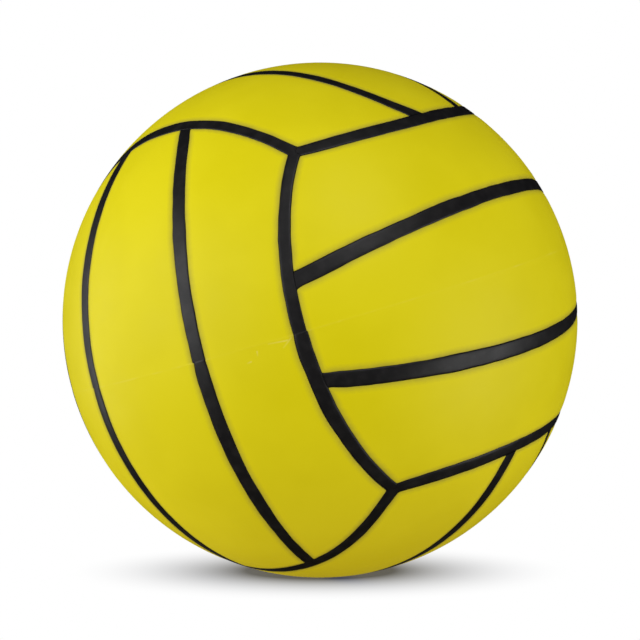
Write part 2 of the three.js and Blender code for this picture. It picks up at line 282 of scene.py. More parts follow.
class VolleyballStudio(bpy.types.PropertyGroup):
    """Camera, light and floor"""

    distance: length("Camera distance", 486.9, "From the camera to the ball's centre")
    elevation: angle("Camera elevation", 5, "Height of the camera over the horizon")
    lens: number("Lens", 65.6, f"Focal length in millimetres, on a sensor {SENSOR_WIDTH} mm wide")
    ambient: number("Ambient", 0.25, "Strength of the even light from all sides")
    ambient_tint: colour("Ambient tint", (1, 0.82, 0.85), "Colour of the even light")
    gloss: number("Gloss", 0, "Strength of the background as gloss shows it")
    light_distance: length("Light distance", 1100, "From a softbox to the ball's centre")
    left_light: number("Left light", 2.9, "Radiance of the key softbox on the left")
    left_turn: angle("Left turn", -56, "Its angle round from the camera's side")
    left_rise: angle("Left rise", 12, "Its height over the horizon")
    left_width: length("Left width", 1050, "Its width")
    left_height: length("Left height", 900, "Its height")
    rim_light: number("Rim light", 1.9, "Radiance of the softbox left of the ball")
    rim_turn: angle("Rim turn", -103, "Its angle round from the camera's side")
    rim_rise: angle("Rim rise", -5, "Its height over the horizon")
    rim_width: length("Rim width", 500, "Its width")
    rim_height: length("Rim height", 900, "Its height")
    right_light: number("Right light", 2.8, "Radiance of the softbox on the right")
    right_turn: angle("Right turn", 66, "Its angle round from the camera's side")
    right_rise: angle("Right rise", -8, "Its height over the horizon")
    right_width: length("Right width", 750, "Its width")
    right_height: length("Right height", 900, "Its height")
    top_light: number("Top light", 3.4, "Radiance of the softbox over the camera")
    top_turn: angle("Top turn", 15, "Its angle round from the camera's side")
    top_rise: angle("Top rise", 48, "Its height over the horizon")
    top_width: length("Top width", 500, "Its width")
    top_height: length("Top height", 700, "Its height")
    back_light: number("Back light", 4.5, "Radiance of the softbox behind the ball")
    back_turn: angle("Back turn", 180, "Its angle round from the camera's side")
    back_rise: angle("Back rise", 0, "Its height over the horizon")
    back_width: length("Back width", 500, "Its width")
    back_height: length("Back height", 400, "Its height")
    floor_size: length("Floor size", 160, "Half the width of the floor")
    # The shadow under the ball is painted: dark paper in a soft ellipse, on top of the shadow that the ball casts
    shadow_width: length("Shadow width", 107, "Half the width of the shadow under the ball")
    shadow_depth: length("Shadow depth", 40, "Half the depth of the shadow")
    shadow_reach: length("Shadow reach", 6.4, "How far the shadow's middle lies to the front")
    shadow_core: number("Shadow core", 0.29, "Share of the shadow, from its middle, that is full")
    shadow_fade: number("Shadow fade", 2, "Power with which the shadow fades from there to its edge")
    # Dark, cool paper paints the shadow and counters the yellow light that the ball throws on it
    paper: colour("Paper", (0.15, 0.16, 0.23), "Floor in the shadow, cool against the ball's yellow")
    shade: colour("Shade", (0.05, 0.054, 0.075), "Least brightness of the shadow")
    bounce: colour("Bounce", (0.6, 0.49, 0.26), "Light that the floor gives back to the ball")


# Seam pattern

class SeamPattern:
    """The channels between the panels as lines on the ball, in the pattern's own axes"""

    def __init__(self, cover):
        self.cover = cover
        self.radius = cover.radius
        self.half_channel = cover.channel_width / 2
        width = cover.channel_width / MM
        self.even = Stray((0, 0), (width, width))
        self.photographed_side = lie_matrix(cover).inverted() @ -Y

    def direction(self, face, longitude, latitude):
        """Point of the unit ball at a longitude and latitude of a face"""
        out = math.cos(latitude)
        return (face.normal * (out * math.cos(longitude)) + face.across * (out * math.sin(longitude))
                + face.along * math.sin(latitude))

    def inner_seam(self, latitude, distance):
        """Longitude of a line beside the inner seam, at a distance along the surface"""
        return self.cover.inner_seam + distance / (self.radius * math.cos(latitude))

    def edge_slope(self, latitude):
        """How steeply the long edge of a face leaves its meridian"""
        share = abs(latitude) / CORNER_LATITUDE
        power = self.cover.waist_power
        return self.cover.waist * power * share ** (power - 1) / CORNER_LATITUDE * math.cos(latitude)

    def long_edge(self, latitude, distance):
        """Longitude of a line beside the long edge of a face, at a distance along the surface"""
        share = abs(latitude) / CORNER_LATITUDE
        bow = self.cover.waist * (1 - share ** self.cover.waist_power)
        aside = distance * math.hypot(1, self.edge_slope(latitude))
        return EVEN_EDGE - bow + aside / (self.radius * math.cos(latitude))

    def rise(self, point):
        """Height of a point of the unit ball above the parting line"""
        return point.z * self.radius - self.cover.parting

    def edge_distance(self, seam, point, outward):
        """Distance of a channel's edge from the seam's even line, away from the face's middle, near a
        point of the unit ball; outward is 1 for the edge further from that middle, -1 for the other"""
        cover = self.cover
        stray = STRAYS.get(seam.node, self.even)
        latitude = math.asin(point.dot(seam.face.along))
        share = latitude / (CORNER_LATITUDE if seam.kind == "edge" else EVEN_EDGE)
        stays = smooth(point.dot(self.photographed_side), STRAY_START, STRAY_FULL)
        shift = stays * through(stray.shifts, share) * MM

        rise = self.rise(point)
        low_side = seam.side * outward < 0
        below = seam.crosses_parting and rise < 0
        width = through(stray.widths, share) + (stray.widening if below else 0)
        extra = stays * (width * MM / 2 - self.half_channel)
        spot = point * self.radius + SIDE_SHIFT * (seam.side * outward)
        extra += cover.wander * noise.noise(spot / cover.wander_length)
        extra += cover.ripple * noise.noise(spot / cover.ripple_length)
        if below:
            nick = cover.nick if low_side else cover.nick * HIGH_NICK
            extra -= nick * math.exp(rise / cover.nick_length)
        if seam.kind == "inner":
            left = max(0, INNER_END - abs(latitude)) * self.radius
            uneven = noise.noise(spot / cover.swell_length)
            extra += cover.swell * uneven * math.exp(-left / cover.swell_length)

        # Mitred corners stay even, so that the three strips of a corner still fit
        keep = 1 if seam.kind == "inner" else 1 - min(1, abs(share)) ** MITRE_FADE
        return outward * (self.half_channel + keep * extra) + seam.side * keep * shift

    def channel_edge(self, seam, outward):
        """Longitude, by latitude, of one edge of the channel along a seam"""
        line = self.inner_seam if seam.kind == "inner" else self.long_edge

        def longitude(latitude):
            even = seam.side * line(latitude, outward * self.half_channel)
            point = self.direction(seam.face, even, latitude)
            return seam.side * line(latitude, self.edge_distance(seam, point, outward))
        return longitude

    def end_seam(self, face, end):
        """The edge seam across the low or high ends of a face's panels"""
        beyond = next(other for other in FACES if other.normal == face.along * end)
        return Seam(beyond, round(beyond.across.dot(face.normal)), "edge")

    def end_latitude(self, face, longitude_at, end):
        """Latitude where a line along a panel meets the channel at its low or high end"""
        rounds = 16
        seam = self.end_seam(face, end)
        latitude = end * EVEN_EDGE
        for _ in range(rounds):
            longitude = longitude_at(latitude)
            point = self.direction(face, longitude, latitude)
            aside = math.asin(point.dot(seam.face.along))
            edge = self.long_edge(aside, self.edge_distance(seam, point, 1))
            latitude = end * math.atan(math.cos(longitude) / math.tan(edge))
        return latitude

    def end_latitudes(self, face, longitude_at):
        """Latitudes of the low end and the high end of a line along a panel"""
        return [self.end_latitude(face, longitude_at, end) for end in (-1, 1)]

    def panel_sides(self, face, side):
        """Longitudes, by latitude, of a panel's two sides; side is -1, 0 or 1 across the face"""
        if side == 0:
            return [self.channel_edge(Seam(face, way, "inner"), -1) for way in (-1, 1)]
        inner = self.channel_edge(Seam(face, side, "inner"), 1)
        outer = self.channel_edge(Seam(face, side, "edge"), -1)
        return (inner, outer) if side > 0 else (outer, inner)

    def parting_lines(self, axis):
        """Distances of grid lines along an axis of a face, close at the parting line if it crosses"""
        cover = self.cover
        if axis.z == 0:
            return (0,)
        reaches = (-cover.flash_width, -cover.step, cover.step, cover.flash_width)
        return sorted(axis.z * (cover.parting + reach) for reach in reaches)


# Grids that are bent onto the ball. A grid line is an anchor, from -1 at the low edge of a piece over 0
# at its middle to 1 at its high edge, and a distance from that anchor.

def grid_lines(half, edge, middle, cell):
    """Lines across a piece of a half width: fixed ones at its edges and middle, even ones between"""
    fixed = [(-1, inset) for inset in edge]
    fixed += [(0, offset) for offset in middle]
    fixed += [(1, -inset) for inset in reversed(edge)]
    lines = fixed[:1]
    for start, stop in zip(fixed, fixed[1:]):
        gap = (stop[0] - start[0]) * half + stop[1] - start[1]
        steps = max(1, round(gap / cell))
        for step in range(1, steps + 1):
            share = step / steps
            lines.append(tuple(a + (b - a) * share for a, b in zip(start, stop)))
    return lines


def along_line(line, low, centre, high):
    """Where a grid line lies between two edges; its distance is in the same units as they are"""
    anchor, offset = line
    edge = low if anchor < 0 else high
    return centre + abs(anchor) * (edge - centre) + offset


def line_inset(line, half):
    """Distance of a grid line from the nearer edge"""
    anchor, offset = line
    return (1 - abs(anchor)) * half - math.copysign(1, anchor) * offset


def shifted(line, inwards):
    """A grid line moved away from its edge"""
    anchor, offset = line
    return anchor, offset - math.copysign(inwards, anchor)


def bent_grid(across, along, place):
    """A grid whose points are set by place, which takes an across line and an along line"""
    bm = bmesh.new()
    bmesh.ops.create_grid(bm, x_segments=len(across) - 1, y_segments=len(along) - 1, size=1)
    for vert in bm.verts:
        i = round((vert.co.x + 1) / 2 * (len(across) - 1))
        j = round((vert.co.y + 1) / 2 * (len(along) - 1))
        vert.co = place(across[i], along[j])
    return bm


def thicken(bm, floor):
    """Gives a bent grid its thickness, down to the radius of a floor"""
    made = bmesh.ops.extrude_face_region(bm, geom=bm.faces[:])
    for vert in made["geom"]:
        if isinstance(vert, bmesh.types.BMVert):
            vert.co = vert.co.normalized() * floor
    bmesh.ops.recalc_face_normals(bm, faces=bm.faces[:])


def rim_drop(inset, rim):
    """How far a round rim falls at a distance from its edge"""
    short = max(0, 1 - inset / rim)
    return rim * (1 - math.sqrt(1 - short ** 2))


def rim_insets(rim, steps):
    """Distances of grid lines that round a rim evenly"""
    return [rim * (1 - math.cos(math.pi / 2 * step / steps)) for step in range(steps + 1)]


# Cover panels

def panel_insets(cover):
    """Distances of grid lines over a panel's rim and its rolled edge"""
    rim_steps = 4
    roll_steps = 4
    crowding = 1.2
    roll = cover.roll_width - cover.rim
    rolled = [cover.rim + roll * (step / roll_steps) ** crowding for step in range(1, roll_steps + 1)]
    return rim_insets(cover.rim, rim_steps) + rolled


def panel_drop(cover, inset):
    """How far a panel lies below its crown at a distance from its edge"""
    rolled = max(0, 1 - inset / cover.roll_width)
    return cover.roll_drop * rolled ** 2 + rim_drop(inset, cover.rim)


def flash_ridge(pattern, point):
    """Height of the broken parting line at a point of the unit ball"""
    cover = pattern.cover
    usual = 0.5
    near = max(0, 1 - abs(pattern.rise(point)) / cover.flash_width)
    broken = max(0, usual + noise.noise(point * pattern.radius / cover.flash_break))
    return cover.flash * near * broken


def panel_surface(pattern, face, side):
    """The outer surface of a panel: crowned, with rounded corners and edges rolled into the channels"""
    cover = pattern.cover
    radius = pattern.radius
    low, high = pattern.panel_sides(face, side)

    def middle_line(latitude):
        return (low(latitude) + high(latitude)) / 2

    half_width = radius * (high(0) - low(0)) / 2
    half_length = radius * pattern.end_latitude(face, middle_line, 1)
    insets = panel_insets(cover)
    middle = pattern.parting_lines(face.across) if side == 0 else (0,)
    across = grid_lines(half_width, insets, middle, cover.cell)
    along = grid_lines(half_length, insets, pattern.parting_lines(face.along), cover.cell)

    def longitude(column, latitude):
        anchor, offset = column
        left = low(latitude)
        right = high(latitude)
        centre = 0 if side == 0 else (left + right) / 2
        return along_line((anchor, offset / (radius * math.cos(latitude))), left, centre, right)

    @cache
    def ends_of(column):
        return pattern.end_latitudes(face, lambda latitude: longitude(column, latitude))

    def place(column, row):
        inset_across = line_inset(column, half_width)
        inset_along = line_inset(row, half_length)

        # Near a corner both lines are drawn in, so that the square corner becomes round
        p = max(0, 1 - inset_across / cover.corner)
        q = max(0, 1 - inset_along / cover.corner)
        column = shifted(column, cover.corner * p * (1 - math.sqrt(1 - q * q / 2)))
        anchor, offset = shifted(row, cover.corner * q * (1 - math.sqrt(1 - p * p / 2)))

        south, north = ends_of(column)
        latitude = along_line((anchor, offset / radius), south, 0, north)
        point = pattern.direction(face, longitude(column, latitude), latitude)
        height = radius - panel_drop(cover, min(inset_across, inset_along))
        return point * (height + flash_ridge(pattern, point))

    return bent_grid(across, along, place)


def open_valve_hole(bm, cover, face):
    """Cuts the round valve hole into the middle of a panel, with a rolled edge round it"""
    insets = panel_insets(cover)
    reach = cover.hole_radius + insets[-1] + cover.cell / 2

    def spread(point):
        return Vector((point.dot(face.across), point.dot(face.along)))

    block = [f for f in bm.faces if any(spread(v.co).length < reach for v in f.verts)]
    bmesh.ops.delete(bm, geom=block, context="FACES")
    loop = [e for e in bm.edges if e.is_boundary
            and all(spread(v.co).length < reach + 2 * cover.cell for v in e.verts)]
    for inset in reversed(insets):
        made = bmesh.ops.extrude_edge_only(bm, edges=loop)["geom"]
        loop = [item for item in made if isinstance(item, bmesh.types.BMEdge)]
        out = cover.hole_radius + inset
        height = cover.radius - panel_drop(cover, inset)
        for vert in {v for e in loop for v in e.verts}:
            aside = spread(vert.co).normalized() * out
            up = math.sqrt(height ** 2 - out ** 2)
            vert.co = face.across * aside.x + face.along * aside.y + face.normal * up


# Channel strips

def strip_shares(cover, half):
    """Places across a strip, from -1 to 1, with close lines at its round sides"""
    rim_steps = 3
    flat_steps = 6
    sides = [1 - inset / half for inset in rim_insets(cover.strip_rim, rim_steps)]
    inner = sides[-1]
    flat = [inner - 2 * inner * step / flat_steps for step in range(1, flat_steps)]
    return [-share for share in sides] + sorted(flat) + sides[::-1]


def strip_height(pattern, seam, share, point):
    """Radius of a strip's outside: round at its sides, crowned below the parting line, lapped at it"""
    cover = pattern.cover
    crown_power = 4
    inset = (pattern.half_channel - cover.clearance) * (1 - abs(share))
    rise = pattern.rise(point)
    height = pattern.radius - cover.channel_depth - rim_drop(inset, cover.strip_rim)
    if rise < 0:
        height -= cover.strip_crown * share ** crown_power
    if seam.crosses_parting:
        height -= math.copysign(cover.lap * math.exp(-abs(rise) / cover.lap_length), rise)
    return height


def strip_surface(pattern, seam, place, half_length):
    """The outer surface of a strip, whose place gives a point of the unit ball"""
    cover = pattern.cover
    across = [(share, 0) for share in strip_shares(cover, pattern.half_channel - cover.clearance)]
    along = grid_lines(half_length, (0,), pattern.parting_lines(seam.face.along), cover.cell)

    def point_at(across_line, row):
        share = across_line[0]
        point = place(share, row)
        return point * strip_height(pattern, seam, share, point)

    return bent_grid(across, along, point_at)


def inner_strip(pattern, seam):
    """The strip between two panels of a face, butted against the edge strips at its ends"""
    cover = pattern.cover
    edges = [pattern.channel_edge(seam, seam.side * way) for way in (-1, 1)]

    def longitude(share, latitude):
        low, high = (edge(latitude) for edge in edges)
        gap = cover.clearance / (pattern.radius * math.cos(latitude))
        return (low + high) / 2 + share * ((high - low) / 2 - gap)

    @cache
    def ends_of(share):
        return pattern.end_latitudes(seam.face, lambda latitude: longitude(share, latitude))

    def place(share, row):
        south, north = ends_of(share)
        latitude = along_line((row[0], row[1] / pattern.radius), south, 0, north)
        return pattern.direction(seam.face, longitude(share, latitude), latitude)

    half_length = pattern.radius * pattern.end_latitude(seam.face, edges[0], 1)
    return strip_surface(pattern, seam, place, half_length)


def edge_strip(pattern, seam):
    """The strip along the long edge of a face, mitred where three of them meet at a corner"""
    cover = pattern.cover
    radius = pattern.radius
    stretch = math.hypot(1, pattern.edge_slope(CORNER_LATITUDE))
    mitre_gap = cover.clearance / (2 * math.sin(MITRE_ANGLE))
    tiny = 1e-4

    def on_line(latitude):
        return pattern.direction(seam.face, seam.side * pattern.long_edge(latitude, 0), latitude)

    def place(share, row):
        even = share * (pattern.half_channel - cover.clearance)
        end = CORNER_LATITUDE - (abs(even) / math.tan(MITRE_ANGLE) + mitre_gap) / (radius * stretch)
        latitude = along_line((row[0], row[1] / radius), -end, 0, end)
        point = on_line(latitude)
        forward = on_line(latitude + tiny) - on_line(latitude - tiny)
        sideways = forward.cross(point).normalized()
        reaches = []
        for way in (-1, 1):
            near = (point + sideways * (way * pattern.half_channel / radius)).normalized()
            edge = seam.side * pattern.edge_distance(seam, near, seam.side * way)
            reaches.append(edge - way * cover.clearance)
        aside = (sum(reaches) + share * (reaches[1] - reaches[0])) / 2
        return (point + sideways * (aside / radius)).normalized()

    return strip_surface(pattern, seam, place, radius * CORNER_LATITUDE * stretch)


# Valve

def spun(profile, steps=64):
    """A solid turned about the valve's axis, from points of distance from it and height along it"""
    bm = bmesh.new()
    tiny = 1e-6
    verts = [bm.verts.new((out, -height, 0)) for out, height in profile]
    edges = [bm.edges.new(pair) for pair in zip(verts, verts[1:])]
    if profile[0][0] > 0:
        edges.append(bm.edges.new((verts[-1], verts[0])))
    bmesh.ops.spin(bm, geom=verts + edges, cent=(0, 0, 0), axis=(0, 1, 0), angle=2 * math.pi,
                   steps=steps, use_merge=True)
    bmesh.ops.remove_doubles(bm, verts=bm.verts[:], dist=tiny)
    bmesh.ops.recalc_face_normals(bm, faces=bm.faces[:])
    return bm


def round_edges(bm, radius):
    """Rounds the sharp edges of a piece of the valve"""
    sharp = [e for e in bm.edges if e.is_manifold and e.calc_face_angle() > VALVE_BEND]
    bmesh.ops.bevel(bm, geom=sharp, offset=radius, offset_type="OFFSET", segments=4, profile=0.5,
                    affect="EDGES", material=-1, clamp_overlap=True)


def dish_arc(radius, start, stop, steps=6):
    """Profile points along a round dish about the ball's centre"""
    outs = [start + (stop - start) * step / steps for step in range(steps + 1)]
    return [(out, math.sqrt(radius ** 2 - out ** 2)) for out in outs]


def valve_seat(valve):
    """Neck, dished flange and tube in one moulding, open for the core"""
    stem = valve.core_diameter / 2
    bore = stem + valve.gap
    pocket = stem + valve.head_overhang + valve.gap
    neck = pocket + valve.neck_wall
    flange = neck + valve.flange_overhang
    tube = bore + valve.tube_wall
    head_floor = VALVE_FACE - valve.head_thickness
    pocket_floor = head_floor - valve.gap
    tube_end = head_floor - valve.core_length + valve.tip_reach
    bm = spun([
        (bore, tube_end),
        (tube, tube_end),
        *dish_arc(valve.flange_radius - valve.flange_thickness, tube, flange),
        *dish_arc(valve.flange_radius, flange, neck),
        (neck, VALVE_FACE),
        (pocket, VALVE_FACE),
        (pocket, pocket_floor),
        (bore, pocket_floor),
    ])
    round_edges(bm, valve.lip)
    return bm


def valve_core(valve):
    """Head and stem of the plug, with the flared needle hole down to its closed slit"""
    stem = valve.core_diameter / 2
    head = stem + valve.head_overhang
    needle = valve.needle_diameter / 2
    head_floor = VALVE_FACE - valve.head_thickness
    tip = head_floor - valve.core_length
    bm = spun([
        (0, tip),
        (stem - valve.tip_taper, tip),
        (stem, tip + valve.tip_taper),
        (stem, head_floor),
        (head, head_floor),
        (head, VALVE_FACE),
        (needle + valve.mouth_flare, VALVE_FACE),
        (needle, VALVE_FACE - valve.mouth_flare),
        (needle, tip + valve.needle_floor),
        (0, tip + valve.needle_floor),
    ])
    round_edges(bm, valve.lip)
    return bm


# Materials

class Nodes:
    """A node tree, with short calls to add nodes and join them"""

    def __init__(self, tree):
        self.tree = tree

    def add(self, kind, inputs=None, **settings):
        """A new node, with its settings and its inputs, which are values or sockets to join"""
        node = self.tree.nodes.new(kind)
        for name, value in settings.items():
            setattr(node, name, value)
        for key, value in (inputs or {}).items():
            self.feed(node.inputs[key], value)
        return node

    def feed(self, socket, value):
        """Joins a socket to another, or sets its value"""
        if isinstance(value, bpy.types.NodeSocket):
            self.tree.links.new(value, socket)
        else:
            socket.default_value = value

    def maths(self, operation, first, second=0):
        """A sum on numbers"""
        return self.add("ShaderNodeMath", {0: first, 1: second}, operation=operation).outputs[0]

    def vector(self, operation, output, first, second=(0, 0, 0)):
        """A sum on vectors, whose output is a Vector or a Value"""
        node = self.add("ShaderNodeVectorMath", {0: first, 1: second}, operation=operation)
        return node.outputs[output]

    def blend(self, share, first, second):
        """A number between two, by a share"""
        return self.add("ShaderNodeMix", {0: share, 2: first, 3: second}).outputs[0]


class Finish(Nodes):
    """A material's nodes"""

    def __init__(self, name):
        self.material = bpy.data.materials.new(name)
        self.material.use_nodes = True
        super().__init__(self.material.node_tree)
        self.shader = self.tree.nodes["Principled BSDF"]
        self.output = self.tree.nodes["Material Output"]
        self.place = self.add("ShaderNodeTexCoord").outputs["Object"]

    def noise(self, size, detail):
        """Noise whose lumps are about a size across"""
        inputs = {"Vector": self.place, "Scale": 1 / size, "Detail": detail}
        return self.add("ShaderNodeTexNoise", inputs).outputs["Fac"]

    def turned(self, turn):
        """Places on the piece after a turn"""
        return self.add("ShaderNodeMapping", {"Vector": self.place, "Rotation": turn}).outputs[0]

    def ramp(self, value, start, stop, low=0, high=1, kind="SMOOTHSTEP"):
        """Goes from low to high while a value goes from start to stop"""
        inputs = {"Value": value, "From Min": start, "From Max": stop, "To Min": low, "To Max": high}
        return self.add("ShaderNodeMapRange", inputs, interpolation_type=kind).outputs["Result"]

    def patches(self, size, detail, **spread):
        """Noise whose lumps are about a size across, spread the way a ramp spreads a value"""
        return self.ramp(self.noise(size, detail), **spread)

    def uneven_sheen(self, size, low, high, detail=3):
        """A roughness that differs in patches about a size across"""
        return self.patches(size, detail, start=0.3, stop=0.7, low=low, high=high)

    def mix(self, share, first, second):
        """A colour between two, by a share"""
        first, second = (end if isinstance(end, bpy.types.NodeSocket) else (*end, 1)
                         for end in (first, second))
        return self.add("ShaderNodeMix", {0: share, 6: first, 7: second}, data_type="RGBA").outputs[2]

    def set(self, **values):
        """Inputs of the surface shader, by name with its spaces as underscores"""
        for name, value in values.items():
            self.feed(self.shader.inputs[name.replace("_", " ")], value)

    def bump(self, height, depth):
        """A bump of a depth in metres"""
        inputs = {"Height": height, "Distance": depth, "Strength": 1}
        return self.add("ShaderNodeBump", inputs).outputs["Normal"]

    def grain(self, fine, coarse, depth):
        """The tooth of moulded rubber: fine lumps over coarse ones"""
        lumps = self.maths("ADD", self.noise(fine, detail=2), self.noise(coarse, detail=1))
        return self.bump(lumps, depth)


# Scratches on the front face, from and to places in millimetres across it and along it
SCRATCHES = (
    ((58.2, 0.7), (55.4, -1.7)),
    ((57.2, 0.2), (51.5, 0.8)),
    ((47.6, -0.6), (47.4, -1.9)),
    ((44.9, -3.3), (43.7, -3.5)),
)


def scratch(finish, place, cover, marks):
    """Share of a thin scratch between two marks on the front face, which fades towards the second"""
    ends = []
    for across, along in marks:
        aside = Vector((0, across * MM, along * MM))
        ends.append(aside + X * math.sqrt(cover.radius ** 2 - aside.length_squared))
    run = ends[1] - ends[0]
    apart = finish.vector("SUBTRACT", "Vector", place, ends[0])
    way = finish.vector("DOT_PRODUCT", "Value", apart, run / run.length_squared)
    share = finish.ramp(way, start=0, stop=1, kind="LINEAR")
    nearest = finish.vector("MULTIPLY", "Vector", run, share)
    off = finish.vector("DISTANCE", "Value", apart, nearest)
    thin = finish.ramp(off, start=0.1 * MM, stop=cover.scratch_width, low=1, high=0)
    return finish.maths("MULTIPLY", thin, finish.ramp(share, start=0, stop=1, low=0.55, high=0.2))


def cover_finish(cover, colours):
    """Satin yellow rubber: mottled, finely grained, darkened along its edges by painted shade and some soil, black
    at the channels
    """
    finish = Finish("satin_yellow_cover")
    crown = cover.radius
    edge = crown - cover.roll_drop
    into_rim = 0.3
    level = finish.vector("LENGTH", "Value", finish.place)
    pattern_place = finish.turned(lie_matrix(cover).to_3x3().inverted().to_euler())
    mottle = finish.patches(size=38 * MM, detail=3, start=0.35, stop=0.65)
    yellow = finish.mix(mottle, colours.cover, colours.cover_pale)

    # Scratches and the parting line are pale, the line in broken stretches and on the rolled edges
    height = finish.add("ShaderNodeSeparateXYZ", {0: pattern_place}).outputs["Z"]
    off_line = finish.maths("ABSOLUTE", finish.maths("SUBTRACT", height, cover.parting))
    line = finish.ramp(off_line, start=0.1 * MM, stop=0.5 * MM, low=1, high=0)
    broken = finish.patches(size=cover.flash_break, detail=3, start=0.5, stop=0.68, low=0.03, high=0.18)
    at_edge = finish.ramp(level, start=crown - 0.01 * MM, stop=edge, low=0, high=0.4)
    pale = finish.maths("MULTIPLY", line, finish.maths("ADD", broken, at_edge))
    for marks in SCRATCHES:
        pale = finish.maths("MAXIMUM", pale, scratch(finish, pattern_place, cover, marks))
    yellow = finish.mix(pale, yellow, colours.flash_pale)

    # Painted shade, with some soil, darkens the rolled edges as they sink into the channels, in uneven patches
    soiled_and_shaded = finish.ramp(level, start=crown - 0.025 * MM, stop=edge, kind="LINEAR")
    uneven_shade_and_soil = finish.patches(size=6 * MM, detail=3, start=0.25, stop=0.75, low=0.7, high=1)
    yellow = finish.mix(finish.maths("MULTIPLY", soiled_and_shaded, uneven_shade_and_soil), yellow, colours.cover_shade_and_soil)

    # The channel's black starts on the rim, a little unevenly
    wall = edge - into_rim * cover.rim
    wavy = finish.patches(size=2.5 * MM, detail=2, start=0.2, stop=0.8, low=-0.02 * MM, high=0.02 * MM,
                          kind="LINEAR")
    black = finish.ramp(finish.maths("ADD", level, wavy), start=wall + 0.01 * MM, stop=wall - 0.04 * MM)
    finish.set(Base_Color=finish.mix(black, yellow, colours.strip))

    finish.set(Roughness=finish.uneven_sheen(size=11 * MM, low=0.45, high=0.52, detail=4))
    finish.set(Specular_IOR_Level=0.14)
    finish.set(Normal=finish.grain(fine=0.55 * MM, coarse=2.4 * MM, depth=0.01 * MM))
    return finish.material


def strip_finish(colours):
    """Satin charcoal rubber with a little talc on it"""
    finish = Finish("charcoal_strip")
    talc = finish.patches(size=4 * MM, detail=4, start=0.4, stop=0.72)
    finish.set(Base_Color=finish.mix(talc, colours.strip, colours.strip_dust))
    finish.set(Roughness=finish.uneven_sheen(size=7 * MM, low=0.36, high=0.46))
    finish.set(Specular_IOR_Level=0.27)
    finish.set(Normal=finish.grain(fine=0.5 * MM, coarse=1.8 * MM, depth=0.014 * MM))
    return finish.material


def rubber_finish(name, colours, roughness, lump):
    """Black rubber under talc: dusty patches, an uneven sheen and a fine tooth"""
    finish = Finish(name)
    uneven = 0.06
    tooth = lump / 12
    talc = finish.patches(size=lump, detail=5, start=0.42, stop=0.75)
    finish.set(Base_Color=finish.mix(talc, colours.rubber, colours.rubber_dust))
    sheen = finish.uneven_sheen(size=lump / 2, low=roughness - uneven, high=roughness + uneven)
    finish.set(Roughness=sheen, Specular_IOR_Level=0.25)
    finish.set(Normal=finish.bump(finish.noise(tooth, detail=3), depth=0.02 * MM))
    return finish.material


def thread_finish(colours):
    """Nylon thread wound over and over: bands of thread that cross at many angles"""
    finish = Finish("wound_thread")
    band = 12 * MM
    turns = ((0.3, 0.2, 0), (1.3, 0.4, 0.9), (0.7, 1.2, 2.0))
    threads = 0
    for turn in turns:
        inputs = {"Vector": finish.turned(turn), "Scale": 1 / band, "Distortion": 3, "Detail": 2}
        wave = finish.add("ShaderNodeTexWave", inputs).outputs["Fac"]
        threads = finish.maths("MAXIMUM", wave, threads)
    finish.set(Base_Color=finish.mix(threads, colours.thread_shade, colours.thread))
    finish.set(Roughness=finish.uneven_sheen(size=3 * MM, low=0.6, high=0.75))
    finish.set(Normal=finish.bump(threads, depth=0.08 * MM))
    return finish.material


# Pieces

def lie_matrix(cover):
    """Turns the seam pattern's axes to the way the ball lies"""
    return Euler(cover.lie).to_matrix().to_4x4()


def add_piece(bm, node, material, body, cover):
    """Turns a mesh from the pattern's axes to the part's, and puts it in the place of its node"""
    bmesh.ops.transform(bm, matrix=lie_matrix(cover), verts=bm.verts[:])
    name = f"{node}_moulded"
    mesh = bpy.data.meshes.new(name)
    bm.to_mesh(mesh)
    bm.free()
    mesh.polygons.foreach_set("use_smooth", [True] * len(mesh.polygons))
    mesh.set_sharp_from_angle(angle=CREASE)
    mesh.materials.append(material)
    piece = bpy.data.objects.new(name, mesh)
    bpy.context.scene.collection.objects.link(piece)
    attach(piece, body)
    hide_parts(node)


class VOLLEYBALL_OT_cover_panels(bpy.types.Operator):
    """Build the eighteen cover panels"""

    bl_idname = "volleyball.cover_panels"
    bl_label = "Cover panels"

    def execute(self, context):
        cover = context.scene.volleyball_cover
        pattern = SeamPattern(cover)
        material = cover_finish(cover, context.scene.volleyball_finish)
        for face in FACES:
            for index, strip in enumerate(face.strips):
                node = f"panel_{face.name}_{strip}"
                bm = panel_surface(pattern, face, index - 1)
                if node == VALVE_NODE:
                    open_valve_hole(bm, cover, face)
                thicken(bm, cover.radius - cover.thickness)
                add_piece(bm, node, material, "ball", cover)
        return {"FINISHED"}


class VOLLEYBALL_OT_channel_strips(bpy.types.Operator):
    """Build the strips in the channels between the panels"""

    bl_idname = "volleyball.channel_strips"
    bl_label = "Channel strips"

    def execute(self, context):
        cover = context.scene.volleyball_cover
        pattern = SeamPattern(cover)
        material = strip_finish(context.scene.volleyball_finish)
        builds = {"inner": inner_strip, "edge": edge_strip}
        for face in FACES:
            for side in (-1, 1):
                for kind, build in builds.items():
                    seam = Seam(face, side, kind)
                    bm = build(pattern, seam)
                    thicken(bm, cover.radius - cover.thickness)
                    add_piece(bm, seam.node, material, "ball", cover)
        return {"FINISHED"}


class VOLLEYBALL_OT_valve_seat(bpy.types.Operator):
    """Build the valve's seat"""

    bl_idname = "volleyball.valve_seat"
    bl_label = "Valve seat"

    def execute(self, context):
        scene = context.scene
        colours = scene.volleyball_finish
        material = rubber_finish("valve_seat_rubber", colours, roughness=0.55, lump=5 * MM)
        bm = valve_seat(scene.volleyball_valve)
        add_piece(bm, "valve_seat", material, "ball", scene.volleyball_cover)
        return {"FINISHED"}


class VOLLEYBALL_OT_valve_core(bpy.types.Operator):
    """Build the valve's push-in core"""

    bl_idname = "volleyball.valve_core"
    bl_label = "Valve core"

    def execute(self, context):
        scene = context.scene
        colours = scene.volleyball_finish
        material = rubber_finish("valve_core_rubber", colours, roughness=0.48, lump=4 * MM)
        bm = valve_core(scene.volleyball_valve)
        add_piece(bm, "valve_core", material, "core", scene.volleyball_cover)
        return {"FINISHED"}


